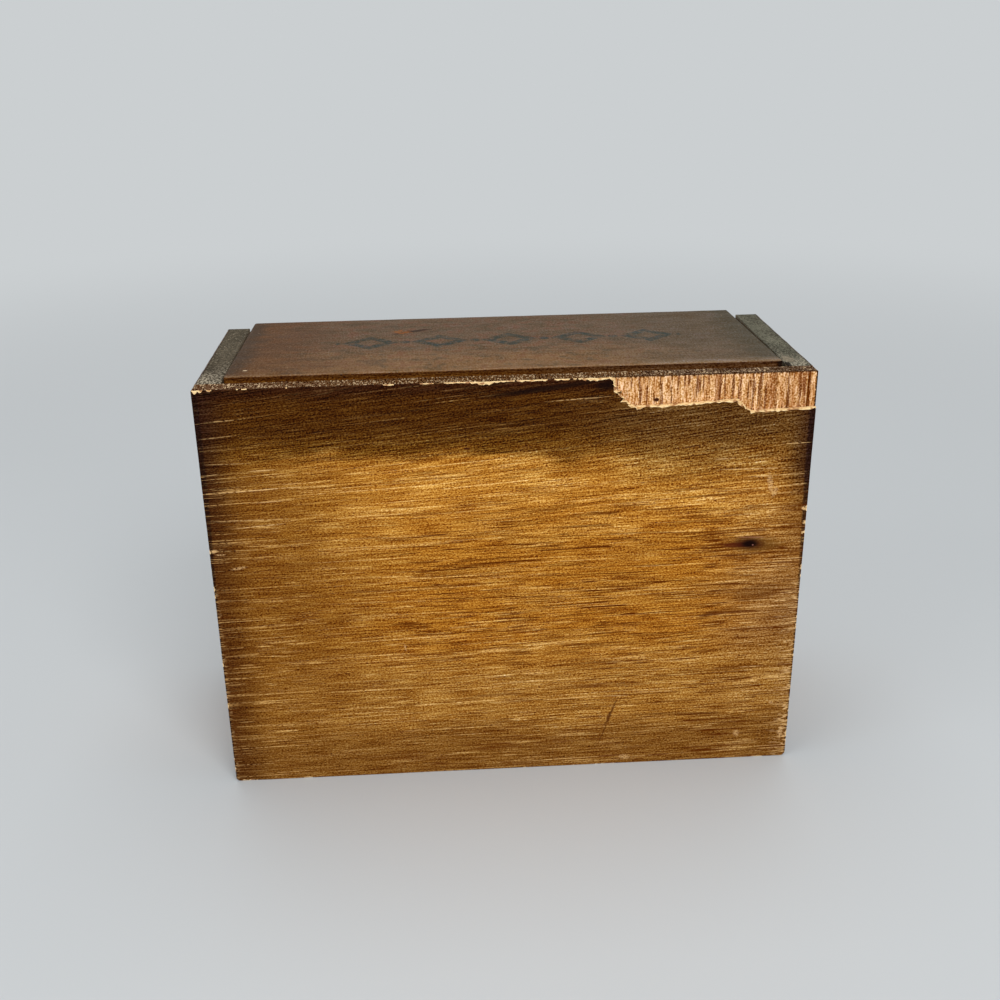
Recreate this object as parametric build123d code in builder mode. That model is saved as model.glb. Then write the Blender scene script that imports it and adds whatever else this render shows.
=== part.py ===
from build123d import *
import math
import os

# A recipe card box: two side boards, plywood front, back and bottom glued to them, and a
# board lid that lies between the side boards and turns on two nails near its back edge.
#
# Frame: +Z up, the front faces -Y, +X is to the right of someone who faces the front.
# The origin is on the surface the box stands on, under the middle of its outer size.

os.makedirs("parts", exist_ok=True)

# ---------------------------------------------------------------- driving sizes, mm
box_width = 146.0  # across the outer faces of the side boards
box_height = 107.0  # base to the top edges of the side boards and the back
side_depth = 52.2  # one side board, front to back
side_thickness = 6.0
veneer_thickness = 0.8  # each outer layer of the plywood
core_thickness = 3.2  # the plywood's middle layer

lid_thickness = 6.0
lid_front_lip = 1.2  # the lid stands this far out past the front, for a fingertip
lid_back_gap = 2.1  # slot between the lid's back edge and the back panel
lid_left_gap = 0.8  # play at the lid's left end
lid_right_gap = 0.4  # play at its right end, where the lid sits closer
lid_back_rise = 0.8  # the nails hold the lid's back edge this far above the side boards
lid_edge_round = 0.5
side_edge_round = 0.4  # along the outer edges of the side boards, top and bottom

pin_diameter = 1.6  # a plain wire nail
pin_length = 19.0  # over all, with its head
pin_head_diameter = 3.4
pin_head_thickness = 0.7
pin_point_length = 1.8
pin_tip_diameter = 0.4
pin_setback = 6.0  # from the lid's back edge to the nails' axis
pin_running_clearance = 0.05  # all round the nail, in the lid
pin_end_clearance = 1.0  # past the nail's point, in the lid

# The broken patch of the back's outer veneer, at its top left corner: each point's distance
# from the left edge and below the top edge.
chip_outline = [
    (49.0, 0.0),
    (45.6, 6.1),
    (42.9, 7.4),
    (19.2, 6.4),
    (15.5, 9.4),
    (0.0, 8.9),
]

# ---------------------------------------------------------------- places that follow
sheet_thickness = core_thickness + 2 * veneer_thickness
inside_width = box_width - 2 * side_thickness
front_height = box_height - lid_thickness
box_depth = lid_front_lip + sheet_thickness + side_depth + sheet_thickness

back_face_y = box_depth / 2
back_inner_y = back_face_y - sheet_thickness
front_inner_y = back_inner_y - side_depth
front_face_y = front_inner_y - sheet_thickness
side_middle_y = (back_inner_y + front_inner_y) / 2

# The lid is a flat board. Its front top edge is level with the side boards, and from there
# it climbs by lid_back_rise to its back edge.
lid_front_y = -box_depth / 2
lid_back_y = back_inner_y - lid_back_gap
lid_tilt = math.atan2(lid_back_rise, lid_back_y - lid_front_y)
lid_board_depth = math.hypot(lid_back_rise, lid_back_y - lid_front_y)
lid_left_x = -inside_width / 2 + lid_left_gap
lid_right_x = inside_width / 2 - lid_right_gap
lid_middle_x = (lid_left_x + lid_right_x) / 2

# The nails' axis is halfway down the lid's thickness.
pin_along_lid = lid_board_depth - pin_setback
pin_below_top = lid_thickness / 2
pin_y = lid_front_y + pin_along_lid * math.cos(lid_tilt) + pin_below_top * math.sin(lid_tilt)
pin_z = box_height + pin_along_lid * math.sin(lid_tilt) - pin_below_top * math.cos(lid_tilt)
pin_point_x = box_width / 2 - pin_length  # how far from the middle each nail's point ends

# The open lid stops with its top face on the back panel's inner top edge.
stop_reach = math.hypot(back_inner_y - pin_y, box_height - pin_z)
stop_direction = math.atan2(box_height - pin_z, back_inner_y - pin_y)
open_angle = math.degrees(
    math.pi / 2 + lid_tilt - stop_direction + math.acos(pin_below_top / stop_reach)
)
print(f"nail axis at y {pin_y:.4f}, z {pin_z:.4f}; the lid opens {open_angle:.2f} degrees")

# Each layer of a plywood sheet: its name, how deep it starts and how thick it is.
sheet_layers = (
    ("outer", 0, veneer_thickness),
    ("core", veneer_thickness, core_thickness),
    ("inner", veneer_thickness + core_thickness, veneer_thickness),
)
layer_names = {"outer": "face_veneer", "core": "core_ply", "inner": "inner_veneer"}
bottom_layer_names = {"outer": "lower_veneer", "core": "core_ply", "inner": "upper_veneer"}

# ---------------------------------------------------------------- side boards
for side_name, outward in (("left", -1), ("right", 1)):
    outer_face = Plane(
        origin=(outward * box_width / 2, side_middle_y, 0),
        x_dir=(0, outward, 0),
        z_dir=(outward, 0, 0),
    )
    nail_head = Plane(
        origin=(outward * box_width / 2, pin_y, pin_z),
        x_dir=(0, outward, 0),
        z_dir=(outward, 0, 0),
    )
    with BuildPart() as side_board:
        with BuildSketch(outer_face):
            Rectangle(side_depth, box_height, align=(Align.CENTER, Align.MIN))
        extrude(amount=-side_thickness)
        long_edges = side_board.edges().filter_by(Axis.Y)
        outer_edges = long_edges.sort_by(Axis.X, reverse=outward > 0)[:2]
        fillet(outer_edges, side_edge_round)
        with Locations(nail_head):
            CounterBoreHole(
                radius=pin_diameter / 2,
                counter_bore_radius=pin_head_diameter / 2,
                counter_bore_depth=pin_head_thickness,
                depth=side_thickness,
            )
    side_board.part.label = side_name + "_side"
    export_step(side_board.part, f"parts/{side_name}_side.step")

# ---------------------------------------------------------------- back panel
for layer, start_depth, thickness in sheet_layers:
    with BuildPart() as back_layer:
        with BuildSketch(Plane.XZ.offset(start_depth - back_face_y)):
            Rectangle(box_width, box_height, align=(Align.CENTER, Align.MIN))
            if layer == "outer":
                with BuildLine():
                    broken_edge = [
                        (from_edge - box_width / 2, box_height - below_top)
                        for from_edge, below_top in chip_outline
                    ]
                    Polyline(broken_edge, (-box_width / 2, box_height), close=True)
                make_face(mode=Mode.SUBTRACT)
        extrude(amount=thickness)
    back_layer.part.label = "back_" + layer_names[layer]
    export_step(back_layer.part, f"parts/back_{layer_names[layer]}.step")

# ---------------------------------------------------------------- front panel
for layer, start_depth, thickness in sheet_layers:
    with BuildPart() as front_layer:
        with BuildSketch(Plane.XZ.offset(-front_face_y - start_depth)):
            Rectangle(box_width, front_height, align=(Align.CENTER, Align.MIN))
        extrude(amount=-thickness)
    front_layer.part.label = "front_" + layer_names[layer]
    export_step(front_layer.part, f"parts/front_{layer_names[layer]}.step")

# ---------------------------------------------------------------- bottom
for layer, start_depth, thickness in sheet_layers:
    with BuildPart() as bottom_layer:
        with BuildSketch(Plane.XY.offset(start_depth)):
            with Locations((0, side_middle_y)):
                Rectangle(inside_width, side_depth)
        extrude(amount=thickness)
    bottom_layer.part.label = "bottom_" + bottom_layer_names[layer]
    export_step(bottom_layer.part, f"parts/bottom_{bottom_layer_names[layer]}.step")

# ---------------------------------------------------------------- lid
lid_top = Plane(
    origin=(lid_middle_x, lid_front_y, box_height),
    x_dir=(1, 0, 0),
    z_dir=(0, -math.sin(lid_tilt), math.cos(lid_tilt)),
)
with BuildPart() as lid:
    with BuildSketch(lid_top):
        Rectangle(
            lid_right_x - lid_left_x, lid_board_depth, align=(Align.CENTER, Align.MIN)
        )
    extrude(amount=-lid_thickness)
    fillet(lid.edges(), lid_edge_round)
    for outward, lid_end_x in ((-1, lid_left_x), (1, lid_right_x)):
        with Locations(Plane(origin=(lid_end_x, pin_y, pin_z), z_dir=(outward, 0, 0))):
            Hole(
                radius=pin_diameter / 2 + pin_running_clearance,
                depth=abs(lid_end_x) - pin_point_x + pin_end_clearance,
            )
lid.part.label = "lid"
export_step(lid.part, "parts/lid.step")

# ---------------------------------------------------------------- nails
# Each nail is turned from a profile: x runs from the head's outer face to the point, and y
# is the radius.
for side_name, outward in (("left", -1), ("right", 1)):
    profile_plane = Plane(
        origin=(outward * box_width / 2, pin_y, pin_z),
        x_dir=(-outward, 0, 0),
        z_dir=(0, 1, 0),
    )
    with BuildPart() as hinge_pin:
        with BuildSketch(profile_plane):
            with BuildLine():
                Polyline(
                    (0, 0),
                    (0, pin_head_diameter / 2),
                    (pin_head_thickness, pin_head_diameter / 2),
                    (pin_head_thickness, pin_diameter / 2),
                    (pin_length - pin_point_length, pin_diameter / 2),
                    (pin_length, pin_tip_diameter / 2),
                    (pin_length, 0),
                    close=True,
                )
            make_face()
        revolve(axis=Axis((0, pin_y, pin_z), (1, 0, 0)))
    hinge_pin.part.label = side_name + "_hinge_pin"
    export_step(hinge_pin.part, f"parts/{side_name}_hinge_pin.step")
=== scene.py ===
import math
import random

import bpy
import numpy as np
from mathutils import Matrix, Vector, noise
from mathutils.geometry import delaunay_2d_cdt

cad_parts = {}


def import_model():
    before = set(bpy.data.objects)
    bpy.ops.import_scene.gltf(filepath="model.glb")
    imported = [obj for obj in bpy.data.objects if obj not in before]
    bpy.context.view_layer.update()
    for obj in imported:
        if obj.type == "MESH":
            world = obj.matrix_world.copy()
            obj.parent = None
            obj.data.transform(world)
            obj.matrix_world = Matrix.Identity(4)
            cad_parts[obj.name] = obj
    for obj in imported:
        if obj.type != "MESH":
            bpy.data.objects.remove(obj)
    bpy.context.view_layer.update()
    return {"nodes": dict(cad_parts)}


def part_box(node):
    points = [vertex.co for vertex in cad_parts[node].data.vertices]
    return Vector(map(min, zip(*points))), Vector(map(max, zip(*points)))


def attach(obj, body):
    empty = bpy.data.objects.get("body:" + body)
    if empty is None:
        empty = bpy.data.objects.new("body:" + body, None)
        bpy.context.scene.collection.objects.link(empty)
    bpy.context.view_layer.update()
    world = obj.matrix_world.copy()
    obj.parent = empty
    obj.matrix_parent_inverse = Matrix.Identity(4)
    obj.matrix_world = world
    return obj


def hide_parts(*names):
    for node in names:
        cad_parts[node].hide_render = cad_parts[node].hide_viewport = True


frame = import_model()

MM = 0.001

# In the part's frame the back faces +Y. Of someone who looks at the back, h runs from left
# to right, so that h is -x, with 0 in the middle. All sizes are in millimetres.


# ---------------------------------------------------------------- the frame's sizes
def node_box(name):
    """A CAD node's lowest and highest corner."""
    low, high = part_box(name)
    return low / MM, high / MM


BACK_LOW, BACK_HIGH = node_box("back_face_veneer")
CORE_LOW, CORE_HIGH = node_box("back_core_ply")
FRONT_LOW, FRONT_HIGH = node_box("front_face_veneer")
FLOOR_LOW, FLOOR_HIGH = node_box("bottom_lower_veneer")
SIDE_LOW, SIDE_HIGH = node_box("right_side")
LID_LOW, LID_HIGH = node_box("lid")
PIN_LOW, PIN_HIGH = node_box("right_hinge_pin")

WIDTH = BACK_HIGH.x - BACK_LOW.x
HEIGHT = BACK_HIGH.z
FRONT_HEIGHT = FRONT_HIGH.z
VENEER = BACK_HIGH.y - BACK_LOW.y
CORE = CORE_HIGH.y - CORE_LOW.y
SIDE_THICKNESS = SIDE_HIGH.x - SIDE_LOW.x
SIDE_DEPTH = SIDE_HIGH.y - SIDE_LOW.y
SIDE_MIDDLE = (SIDE_HIGH.y + SIDE_LOW.y) / 2
PIN_Y = (PIN_LOW.y + PIN_HIGH.y) / 2
PIN_Z = (PIN_LOW.z + PIN_HIGH.z) / 2
PIN_HEAD_RADIUS = (PIN_HIGH.z - PIN_LOW.z) / 2
PIN_HEAD_THICKNESS = 0.7


# ---------------------------------------------------------------- outlines
def rectangle(width, height, radii, step):
    """A rectangle with rounded corners, anticlockwise, from (-width / 2, 0) up to
    (width / 2, height), with points a step apart. radii are those of the bottom right, top
    right, top left and bottom left corners."""
    half = width / 2
    corners = []
    for number, radius in enumerate(radii):
        u = half - radius if number < 2 else radius - half
        v = height - radius if number in (1, 2) else radius
        arc = []
        for k in range(5):
            angle = math.radians(90 * number - 90 + 22.5 * k)
            arc.append(Vector((u + radius * math.cos(angle), v + radius * math.sin(angle))))
        corners.append(arc)
    points = []
    for arc, following in zip(corners, corners[1:] + corners[:1]):
        start, end = arc[-1], following[0]
        count = max(1, round((end - start).length / step))
        points += arc + [start.lerp(end, k / count) for k in range(1, count)]
    return points


def inward_normals(outline):
    """At each point of an anticlockwise outline, the unit vector that points into it."""
    normals = []
    for i in range(len(outline)):
        along = outline[(i + 1) % len(outline)] - outline[i - 1]
        along.normalize()
        normals.append(Vector((-along.y, along.x)))
    return normals


def wobble(place, scale, seed):
    """Smooth noise from -1 to 1."""
    return noise.noise(Vector((place[0] / scale, place[1] / scale, seed * 7.31)))


def scattered(seed, edge, start, end, count, lengths, depths):
    """Small losses at random places along one edge of a board."""
    draw = random.Random(seed)
    losses = []
    for _ in range(count):
        place = draw.uniform(start, end)
        length = draw.uniform(*lengths)
        losses.append((edge, place, place + length, draw.uniform(*depths)))
    return losses


def loss_at(point, width, height, losses):
    """How deep a board's edge is lost at a point of its outline. Each loss is the edge, where
    it starts and ends along that edge, and its depth."""
    u, v = point
    reach = {
        "right": (width / 2 - u, v),
        "left": (width / 2 + u, v),
        "top": (height - v, u),
        "bottom": (v, u),
    }
    deepest = 0.0
    for edge, start, end, depth in losses:
        away, place = reach[edge]
        if away < 1.4 and start < place < end:
            share = abs(2 * (place - start) / (end - start) - 1)
            ragged = 0.5 + 1.1 * wobble(point, 0.8, 4) + 0.7 * wobble(point, 2.5, 5)
            deepest = max(deepest, depth * (1 - share ** 3) * max(0.0, ragged))
    return deepest


def worn(outline, width, height, losses, wave, seed):
    """The outline with its losses cut out, and a slight waviness."""
    amounts = [
        loss_at(p, width, height, losses) + wave * (0.5 + 0.5 * wobble(p, 9.0, seed))
        for p in outline
    ]
    return [p + n * a for p, n, a in zip(outline, inward_normals(outline), amounts)]


# ---------------------------------------------------------------- boards
def inside(points, outline):
    """Which points lie inside the outline."""
    u, v = points[:, 0], points[:, 1]
    ring = np.array([(p.x, p.y) for p in outline])
    result = np.zeros(len(points), bool)
    for (u0, v0), (u1, v1) in zip(ring, np.roll(ring, -1, axis=0)):
        if v0 != v1:
            crosses = (v0 > v) != (v1 > v)
            result ^= crosses & (u < (u1 - u0) * (v - v0) / (v1 - v0) + u0)
    return result


def clearance(points, others):
    """How far each point is from the nearest of the others."""
    nearest = np.empty(len(points))
    for start in range(0, len(points), 1000):
        some = points[start:start + 1000]
        away = np.hypot(
            some[:, None, 0] - others[None, :, 0], some[:, None, 1] - others[None, :, 1]
        )
        nearest[start:start + 1000] = away.min(1)
    return nearest


def inner_points(outline, spacing, extra, seed):
    """A jittered grid inside the outline and clear of it, with extra points."""
    draw = np.random.default_rng(seed)
    ring = np.array([(p.x, p.y) for p in outline])
    low, high = ring.min(0), ring.max(0)
    u, v = np.meshgrid(
        np.arange(low[0] + spacing / 2, high[0], spacing),
        np.arange(low[1] + spacing / 2, high[1], spacing),
    )
    grid = np.stack([u.ravel(), v.ravel()], 1)
    grid += draw.uniform(-0.15, 0.15, grid.shape) * spacing
    grid = grid[inside(grid, outline)]
    grid = grid[clearance(grid, ring) > spacing * 0.35]
    if len(extra):
        added = np.array(extra, float)
        added = added[inside(added, outline)]
        added = added[clearance(added, ring) > 0.15]
        grid = np.concatenate([grid[clearance(grid, added) > spacing * 0.4], added])
    return [Vector(p) for p in grid]


def triangles(ring, inner):
    """Triangles over a ring of points and the points inside it: the points, the faces, and
    the number of the point that each ring point became."""
    found, _, faces, sources, _, _ = delaunay_2d_cdt(
        ring + inner, [], [list(range(len(ring)))], 1, 1e-6
    )
    became = {}
    for number, origins in enumerate(sources):
        for origin in origins:
            if origin < len(ring):
                became[origin] = number
    used = sorted({i for face in faces for i in face} | set(became.values()))
    order = {old: new for new, old in enumerate(used)}
    return (
        [found[i] for i in used],
        [[order[i] for i in face] for face in faces],
        [order[became[i]] for i in range(len(ring))],
    )


FACE, EDGE, REVERSE, TORN = range(4)


def board(name, place, outline, thickness, materials, rim=0.12, back_rim=0.03, torn=None,
          broken=(), relief=None, extra=(), spacing=3.0, back_spacing=8.0, rough=0.06, rings=1,
          rim_bands=2):
    """A board as a mesh object. place takes (u, v, w) in mm to the object's space, with w
    along the main face's normal. materials are those of the main face, the edges, the reverse
    and the broken edges. rim and back_rim are the edges' radii, torn is how far each point of
    the main face's edge is torn back, and broken has the numbers of the points where the whole
    edge is. relief(u, v) is the main face's height, at most 0, rough is how uneven the sawn
    edge is, and rim_bands is how much of the rim, of 2, has the main face's material."""
    count = len(outline)
    torn = torn or [0.0] * count
    deep = [0.5 if i in broken else 0.15 for i in range(count)]
    rims = rim if isinstance(rim, list) else [rim] * count
    normals = inward_normals(outline)

    def ring(amounts, depths):
        return [(p + n * a, -d) for p, n, a, d in zip(outline, normals, amounts, depths)]

    layers = [
        ring([r + t for r, t in zip(rims, torn)], [0.0] * count),
        ring(
            [0.3 * r + (0.5 + 0.5 * d) * t for r, t, d in zip(rims, torn, deep)],
            [0.3 * r for r in rims],
        ),
        ring([d * t for t, d in zip(torn, deep)], rims),
    ]
    for k in range(1, rings + 1):
        share = k / (rings + 1)
        depth = thickness * share
        uneven = [
            rough * (0.5 + 0.5 * noise.noise(Vector((p.x, p.y, depth)) * 1.7))
            for p in outline
        ]
        uneven = [a + d * t * (1 - share) for a, t, d in zip(uneven, torn, deep)]
        layers.append(ring(uneven, [depth] * count))
    for share, rise in ((0.0, 1.0), (0.3, 0.3), (1.0, 0.0)):
        layers.append(ring([share * back_rim] * count, [thickness - rise * back_rim] * count))

    front_ring = [p for p, _ in layers[0]]
    front, front_faces, front_index = triangles(
        front_ring, inner_points(front_ring, spacing, extra, 1)
    )
    back_ring = [p for p, _ in layers[-1]]
    back, back_faces, back_index = triangles(
        back_ring, inner_points(back_ring, back_spacing, (), 2)
    )
    vertices = [(p.x, p.y, relief(p.x, p.y) if relief else 0.0) for p in front]
    indexes = [front_index]
    for layer in layers[1:-1]:
        indexes.append(range(len(vertices), len(vertices) + count))
        vertices += [(p.x, p.y, w) for p, w in layer]
    shift = len(vertices)
    vertices += [(p.x, p.y, -thickness) for p in back]
    indexes.append([shift + i for i in back_index])
    faces = [tuple(face) for face in front_faces]
    faces += [tuple(shift + i for i in reversed(face)) for face in back_faces]
    kinds = [FACE] * len(front_faces) + [REVERSE] * len(back_faces)
    for band, (upper, lower) in enumerate(zip(indexes, indexes[1:])):
        for i in range(count):
            j = (i + 1) % count
            if i in broken and j in broken or band < 2 and torn[i] + torn[j] > 0.1:
                kind = TORN
            else:
                kind = FACE if band < rim_bands else EDGE
            corners = []
            for vertex in (upper[i], lower[i], lower[j], upper[j]):
                if vertex not in corners:
                    corners.append(vertex)
            if len(corners) > 2:
                faces.append(tuple(corners))
                kinds.append(kind)

    mesh = bpy.data.meshes.new(name)
    mesh.from_pydata([place @ Vector(v) for v in vertices], [], faces)
    for material in materials:
        mesh.materials.append(material)
    mesh.polygons.foreach_set("material_index", kinds)
    mesh.validate()
    mesh.update()
    mesh.shade_smooth()
    mesh.set_sharp_from_angle(angle=math.radians(50))
    piece = bpy.data.objects.new(name, mesh)
    bpy.context.scene.collection.objects.link(piece)
    return piece


def placing(origin, u, v):
    """The matrix from a board's own (u, v, w), in mm, to the object's space, in metres."""
    u, v = Vector(u).normalized(), Vector(v).normalized()
    w = u.cross(v)
    rows = [(u[k], v[k], w[k], origin[k]) for k in range(3)]
    return Matrix.Scale(MM, 4) @ Matrix(rows + [(0, 0, 0, 1)])


def finished(piece, body, slot, *nodes):
    """Rides the piece on its body and hides the CAD nodes that it stands for. slot is not used.
    """
    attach(piece, body)
    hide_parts(*nodes)
    return piece


# ---------------------------------------------------------------- shader fields
def linear(red, green, blue):
    """A colour written as 0 to 255 in sRGB, for a shader socket."""
    def channel(value):
        value /= 255
        return value / 12.92 if value <= 0.04045 else ((value + 0.055) / 1.055) ** 2.4
    return channel(red), channel(green), channel(blue), 1.0


def feed(tree, value, socket):
    """Sets a socket to a constant, or links a field or colour to it."""
    if hasattr(value, "socket"):
        tree.links.new(value.socket, socket)
    else:
        socket.default_value = value


class Colour:
    """A colour at each point of a surface, kept as a shader socket."""

    def __init__(self, tree, socket):
        self.tree, self.socket = tree, socket


class Field:
    """A number at each point of a surface, kept as a shader socket."""

    def __init__(self, tree, socket):
        self.tree, self.socket = tree, socket

    def _math(self, operation, *values):
        node = self.tree.nodes.new("ShaderNodeMath")
        node.operation = operation
        for socket, value in zip(node.inputs, values):
            feed(self.tree, value, socket)
        return Field(self.tree, node.outputs[0])

    def __add__(self, other):
        return self._math("ADD", self, other)

    def __sub__(self, other):
        return self._math("SUBTRACT", self, other)

    def __rsub__(self, other):
        return self._math("SUBTRACT", other, self)

    def __mul__(self, other):
        return self._math("MULTIPLY", self, other)

    def __truediv__(self, other):
        return self._math("DIVIDE", self, other)

    __radd__ = __add__
    __rmul__ = __mul__

    def __abs__(self):
        return self._math("ABSOLUTE", self)

    def __pow__(self, other):
        return self._math("POWER", self, other)

    def fraction(self):
        return self._math("FRACT", self)

    def least(self, other):
        return self._math("MINIMUM", self, other)

    def most(self, other):
        return self._math("MAXIMUM", self, other)

    def rise(self, low, high):
        """0 up to low and 1 from high on, smooth between. With low above high it falls."""
        node = self.tree.nodes.new("ShaderNodeMapRange")
        node.interpolation_type = "SMOOTHSTEP"
        falls = low > high
        feed(self.tree, self, node.inputs["Value"])
        node.inputs["From Min"].default_value = min(low, high)
        node.inputs["From Max"].default_value = max(low, high)
        node.inputs["To Min"].default_value = 1.0 if falls else 0.0
        node.inputs["To Max"].default_value = 0.0 if falls else 1.0
        return Field(self.tree, node.outputs["Result"])


class Paint:
    """Builds one material's nodes. x, y and z are the point's place in the part."""

    def __init__(self, name):
        self.material = bpy.data.materials.new(name)
        self.material.use_nodes = True
        self.tree = self.material.node_tree
        self.shader = self.tree.nodes["Principled BSDF"]
        place = self.tree.nodes.new("ShaderNodeTexCoord")
        split = self.tree.nodes.new("ShaderNodeSeparateXYZ")
        self.tree.links.new(place.outputs["Object"], split.inputs[0])
        self.x, self.y, self.z = (
            Field(self.tree, output) * (1 / MM) for output in split.outputs
        )

    def _joined(self, parts):
        node = self.tree.nodes.new("ShaderNodeCombineXYZ")
        for socket, part in zip(node.inputs, parts):
            feed(self.tree, part, socket)
        return node.outputs[0]

    def noise(self, *parts, detail=1.0, roughness=0.5):
        """Smooth noise, mostly from 0.25 to 0.75, with a grain of about 1."""
        node = self.tree.nodes.new("ShaderNodeTexNoise")
        self.tree.links.new(self._joined(parts), node.inputs["Vector"])
        node.inputs["Scale"].default_value = 1.0
        node.inputs["Detail"].default_value = detail
        node.inputs["Roughness"].default_value = roughness
        return Field(self.tree, node.outputs["Fac"])

    def mix(self, first, second, share):
        node = self.tree.nodes.new("ShaderNodeMix")
        node.data_type = "RGBA"
        colours = [socket for socket in node.inputs if socket.type == "RGBA"]
        feed(self.tree, share, node.inputs["Factor"])
        feed(self.tree, first, colours[0])
        feed(self.tree, second, colours[1])
        result = [socket for socket in node.outputs if socket.type == "RGBA"][0]
        return Colour(self.tree, result)

    def shade(self, colour, factor):
        """The colour times a number."""
        node = self.tree.nodes.new("ShaderNodeVectorMath")
        node.operation = "SCALE"
        feed(self.tree, colour, node.inputs[0])
        feed(self.tree, factor, node.inputs["Scale"])
        return Colour(self.tree, node.outputs[0])

    def stain(self, colour, tone):
        """The colour with more stain where tone is below 1 and less where it's above, which
        changes green more than red, and blue most."""
        node = self.tree.nodes.new("ShaderNodeVectorMath")
        node.operation = "MULTIPLY"
        feed(self.tree, colour, node.inputs[0])
        channels = self._joined((tone, tone ** 1.55, tone ** 2.8))
        self.tree.links.new(channels, node.inputs[1])
        return Colour(self.tree, node.outputs[0])

    def spot(self, h, v, at, size, turn=0.0, edge=0.35):
        """1 inside an ellipse around a place and 0 outside, soft at its edge. size is its
        half width and half height, and turn its slope in degrees."""
        slope = math.radians(turn)
        u, w = h - at[0], v - at[1]
        along = (u * math.cos(slope) + w * math.sin(slope)) / size[0]
        across = (w * math.cos(slope) - u * math.sin(slope)) / size[1]
        return (along * along + across * across).rise(1.0 + edge, 1.0 - 2 * edge)

    def finish(self, colour, roughness, height, depth, specular=0.5, metallic=0.0):
        """Joins the fields to the shader. depth is the relief's depth."""
        feed(self.tree, colour, self.shader.inputs["Base Color"])
        feed(self.tree, roughness, self.shader.inputs["Roughness"])
        self.shader.inputs["Specular IOR Level"].default_value = specular
        self.shader.inputs["Metallic"].default_value = metallic
        bump = self.tree.nodes.new("ShaderNodeBump")
        bump.inputs["Distance"].default_value = depth * MM
        feed(self.tree, height, bump.inputs["Height"])
        self.tree.links.new(bump.outputs[0], self.shader.inputs["Normal"])
        return self.material


# ---------------------------------------------------------------- wood
class Grain:
    """The figure of open-pored wood, for its directions along and across. tone is how much
    paler it is, about 0, and pale, long and dark are worn pores, scratches and dark pores,
    from 0 to 1."""

    def __init__(self, paint, along, across, seed):
        across = across + 1.2 * paint.noise(along / 60.0, across / 26.0, seed)
        across = across + 0.2 * paint.noise(along / 12.0, across / 5.0, seed + 1.0)
        streak = paint.noise(along / 45.0, across / 1.5, seed + 2.0, detail=3.0, roughness=0.6)
        self.fibre = paint.noise(along / 8.0, across / 0.34, seed + 3.0)
        self.speck = 0.6 * paint.noise(along / 0.60, across / 0.27, seed + 4.0)
        self.speck = self.speck + 0.6 * paint.noise(along / 0.39, across / 0.36, seed + 16.0)
        self.speck = self.speck - 0.1
        self.tone = (
            0.6 * (streak - 0.5) + 2.0 * (self.fibre - 0.5) + 3.4 * (self.speck - 0.5)
        )
        self.near = paint.noise(along / 26.0, across / 5.0, seed + 6.0)
        self.broken = paint.noise(along / 0.9, across / 0.34, seed + 5.0).rise(0.30, 0.56)
        run = paint.noise(along / 8.0, across / 1.2, seed + 12.0).rise(0.44, 0.56)
        fine = self.line(paint, along / 60.0, across / 1.0, seed + 7.0)
        finer = self.line(paint, along / 50.0, across / 0.9, seed + 15.0)
        self.pale = fine * run * self.broken * self.near.rise(0.34, 0.54)
        self.long = paint.noise(along / 50.0, across / 0.36, seed + 8.0).rise(0.66, 0.71)
        patch = paint.noise(along / 12.0, across / 1.6, seed + 13.0).rise(0.40, 0.54)
        thick = paint.noise(along / 30.0, across / 7.0, seed + 10.0).rise(0.30, 0.45)
        pore = paint.noise(along / 36.0, across / 0.34, seed + 9.0).rise(0.56, 0.62)
        self.dark = (finer * patch).most(pore * patch * 0.7) * thick

    @staticmethod
    def line(paint, along, across, seed):
        """Thin lines of an even width, where the noise passes its middle value."""
        return abs(paint.noise(along, across, seed) - 0.5).rise(0.028, 0.010)


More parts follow.
